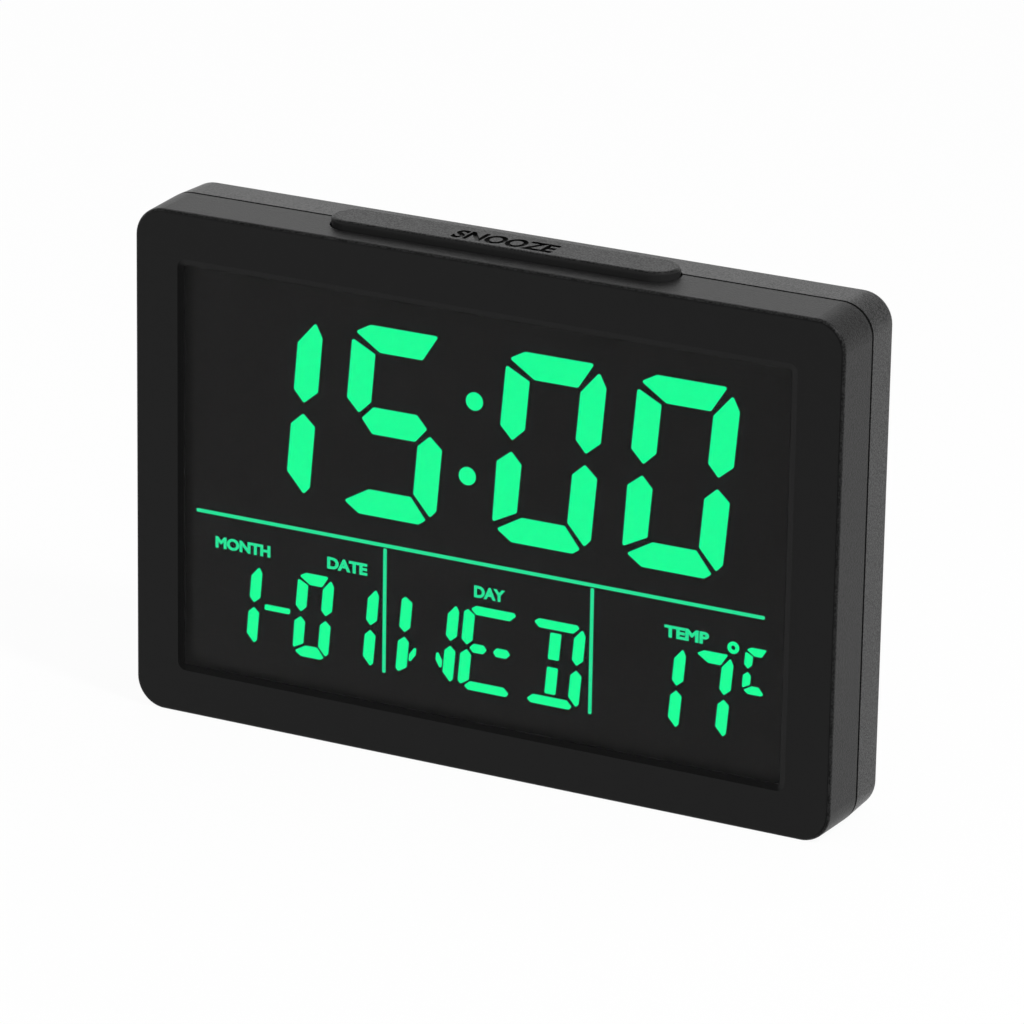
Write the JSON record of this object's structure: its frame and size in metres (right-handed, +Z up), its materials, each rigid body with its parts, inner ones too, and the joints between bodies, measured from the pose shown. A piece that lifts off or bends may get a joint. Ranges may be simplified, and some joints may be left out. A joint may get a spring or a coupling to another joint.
{
  "type": "digital clock",
  "caption": "Slim free-standing digital clock with a black case, a backlit segment display behind a clear window, a snooze bar on top, and keys and a battery door at the back.",
  "frame": {"origin": "on the surface that the clock stands on, at mid width and mid depth", "axes": "+X to the viewer's right, +Y from the display to the back, +Z up"},
  "size_m": [0.1506, 0.0222, 0.1044],
  "materials": {
    "case_black": "fine spark-eroded grain, satin on the front face",
    "lens_clear": "clear polished acrylic",
    "display_glass": "polished float glass",
    "polariser_film": "grey film",
    "lit_green": "backlit green",
    "lit_rule": "backlit green, thinner and dimmer",
    "mask_black": "black print",
    "seal_black": "cured resin",
    "diffuser_white": "frosted film",
    "guide_clear": "polished acrylic with an etched back",
    "frame_white": "plain moulded white",
    "strip_board": "white solder mask",
    "led_body": "phosphor in a clear case",
    "zebra_rubber": "striped silicone",
    "board_green": "green solder mask",
    "chip_resin": "poured black resin",
    "can_metal": "drawn can",
    "chip_ceramic": "sintered",
    "buzzer_black": "plain moulded",
    "switch_black": "plain moulded",
    "plunger_white": "plain moulded",
    "key_black": "satin",
    "cell_sleeve": "plain printed sleeve",
    "contact_metal": "nickel plate",
    "lead_red": "stranded wire's sleeve",
    "lead_black": "stranded wire's sleeve",
    "screw_steel": "black zinc"
  },
  "bodies": {
    "case": {"front_bezel": "case_black", "rear_cover": "case_black", "display_lens": "lens_clear", "lcd_front_polariser": "polariser_film", "lcd_rear_polariser": "polariser_film", "lcd_front_glass": "display_glass", "lcd_rear_glass": "display_glass", "lcd_mask": "mask_black", "lcd_seal": "seal_black", "time_segments": "lit_green", "calendar_segments": "lit_green", "weekday_segments": "lit_green", "temperature_segments": "lit_green", "divider_lines": "lit_rule", "diffuser_sheet": "diffuser_white", "light_guide": "guide_clear", "reflector_sheet": "diffuser_white", "backlight_board": "strip_board", "backlight_leds": "led_body", "display_frame": "frame_white", "zebra_strip": "zebra_rubber", "main_board": "board_green", "controller_chip": "chip_resin", "timing_crystal": "can_metal", "chip_parts": "chip_ceramic", "temperature_sensor": "chip_resin", "buzzer": "buzzer_black", "key_switches": "switch_black", "snooze_switch": "switch_black", "battery_cell_1": "cell_sleeve", "battery_cell_2": "cell_sleeve", "battery_cell_3": "cell_sleeve", "battery_positive_contact": "contact_metal", "battery_negative_contact": "contact_metal", "battery_link_left": "contact_metal", "battery_link_right": "contact_metal", "battery_lead_red": "lead_red", "battery_lead_black": "lead_black", "case_screws": "screw_steel", "display_frame_screws": "screw_steel", "board_screws": "screw_steel"},
    "battery_door": {"battery_door": "case_black"},
    "snooze_button": {"snooze_button": "case_black", "snooze_plunger": "plunger_white"},
    "key_mode": {"key_mode": "key_black", "plunger_mode": "plunger_white"},
    "key_set": {"key_set": "key_black", "plunger_set": "plunger_white"},
    "key_up": {"key_up": "key_black", "plunger_up": "plunger_white"},
    "key_down": {"key_down": "key_black", "plunger_down": "plunger_white"},
    "key_alarm": {"key_alarm": "key_black", "plunger_alarm": "plunger_white"}
  },
  "joints": [
    {"name": "snooze_press", "type": "slide", "parent": "case", "child": "snooze_button", "axis": [0, 0, -1], "range_m": [0, 0.0008], "stiffness_N_per_m": 300, "springref_m": -0.002},
    {"name": "battery_door_tilt", "type": "hinge", "parent": "case", "child": "battery_door", "pos_m": [0, 0.0111, 0.0087], "axis": [-1, 0, 0], "range_deg": [0, 75]},
    {"name": "mode_press", "type": "slide", "parent": "case", "child": "key_mode", "axis": [0, -1, 0], "range_m": [0, 0.0005], "stiffness_N_per_m": 500, "springref_m": -0.001},
    {"name": "set_press", "type": "slide", "parent": "case", "child": "key_set", "axis": [0, -1, 0], "range_m": [0, 0.0005], "stiffness_N_per_m": 500, "springref_m": -0.001},
    {"name": "up_press", "type": "slide", "parent": "case", "child": "key_up", "axis": [0, -1, 0], "range_m": [0, 0.0005], "stiffness_N_per_m": 500, "springref_m": -0.001},
    {"name": "down_press", "type": "slide", "parent": "case", "child": "key_down", "axis": [0, -1, 0], "range_m": [0, 0.0005], "stiffness_N_per_m": 500, "springref_m": -0.001},
    {"name": "alarm_press", "type": "slide", "parent": "case", "child": "key_alarm", "axis": [0, -1, 0], "range_m": [0, 0.0005], "stiffness_N_per_m": 500, "springref_m": -0.001}
  ]
}
